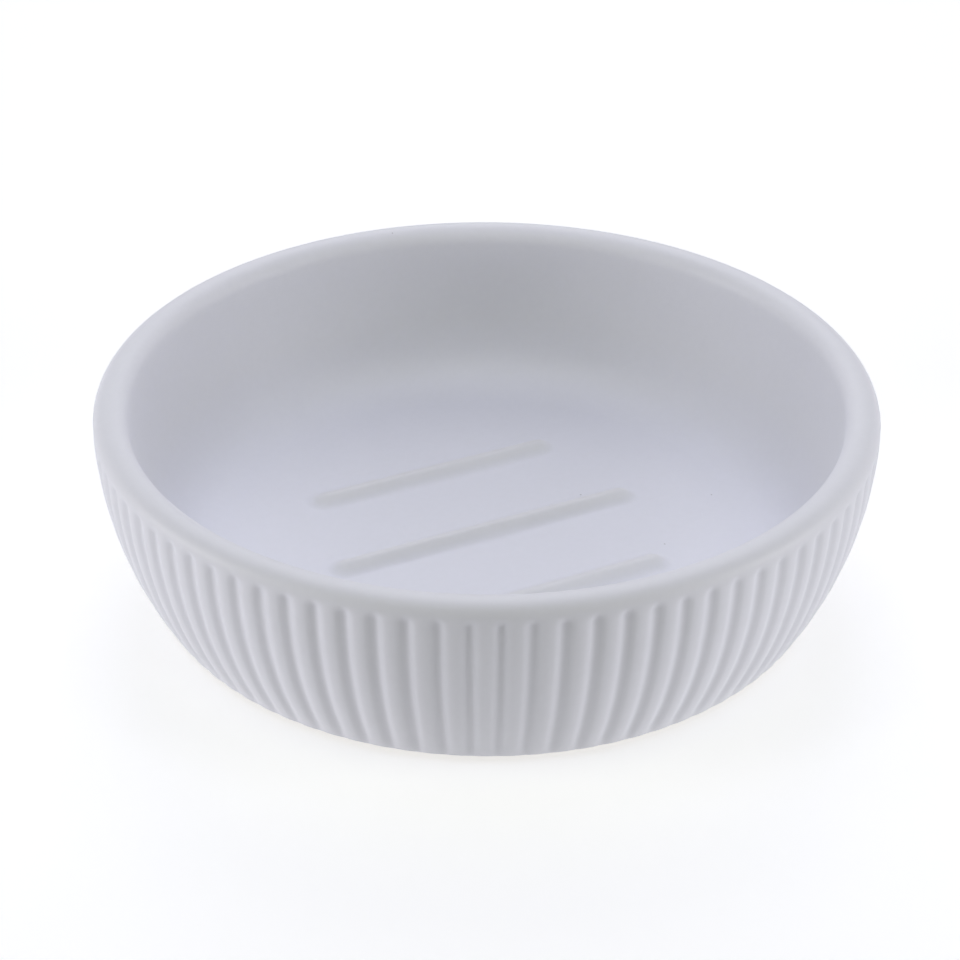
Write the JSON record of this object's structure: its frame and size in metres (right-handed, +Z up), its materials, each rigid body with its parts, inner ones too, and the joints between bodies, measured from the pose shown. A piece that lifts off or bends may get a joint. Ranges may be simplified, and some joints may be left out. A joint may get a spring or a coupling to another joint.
{
  "type": "soap dish",
  "caption": "Round free-standing soap dish with a full-round lip, reeded outer wall, raised soap ribs in the well, and soft anti-slip pads under the foot.",
  "frame": {"origin": "on the table plane under the centre of the dish, at the underside of the foot pads", "axes": "+Z up out of the well, X along the three parallel soap ribs, Y across them"},
  "size_m": [0.12, 0.12, 0.0318],
  "materials": {
    "ceramic_body": "smooth satin-matte white glaze",
    "pad_foam": "soft matte closed-cell foam rubber"
  },
  "bodies": {
    "root": {"dish": "ceramic_body", "foot_pad_1": "pad_foam", "foot_pad_2": "pad_foam", "foot_pad_3": "pad_foam", "foot_pad_4": "pad_foam"}
  },
  "joints": []
}
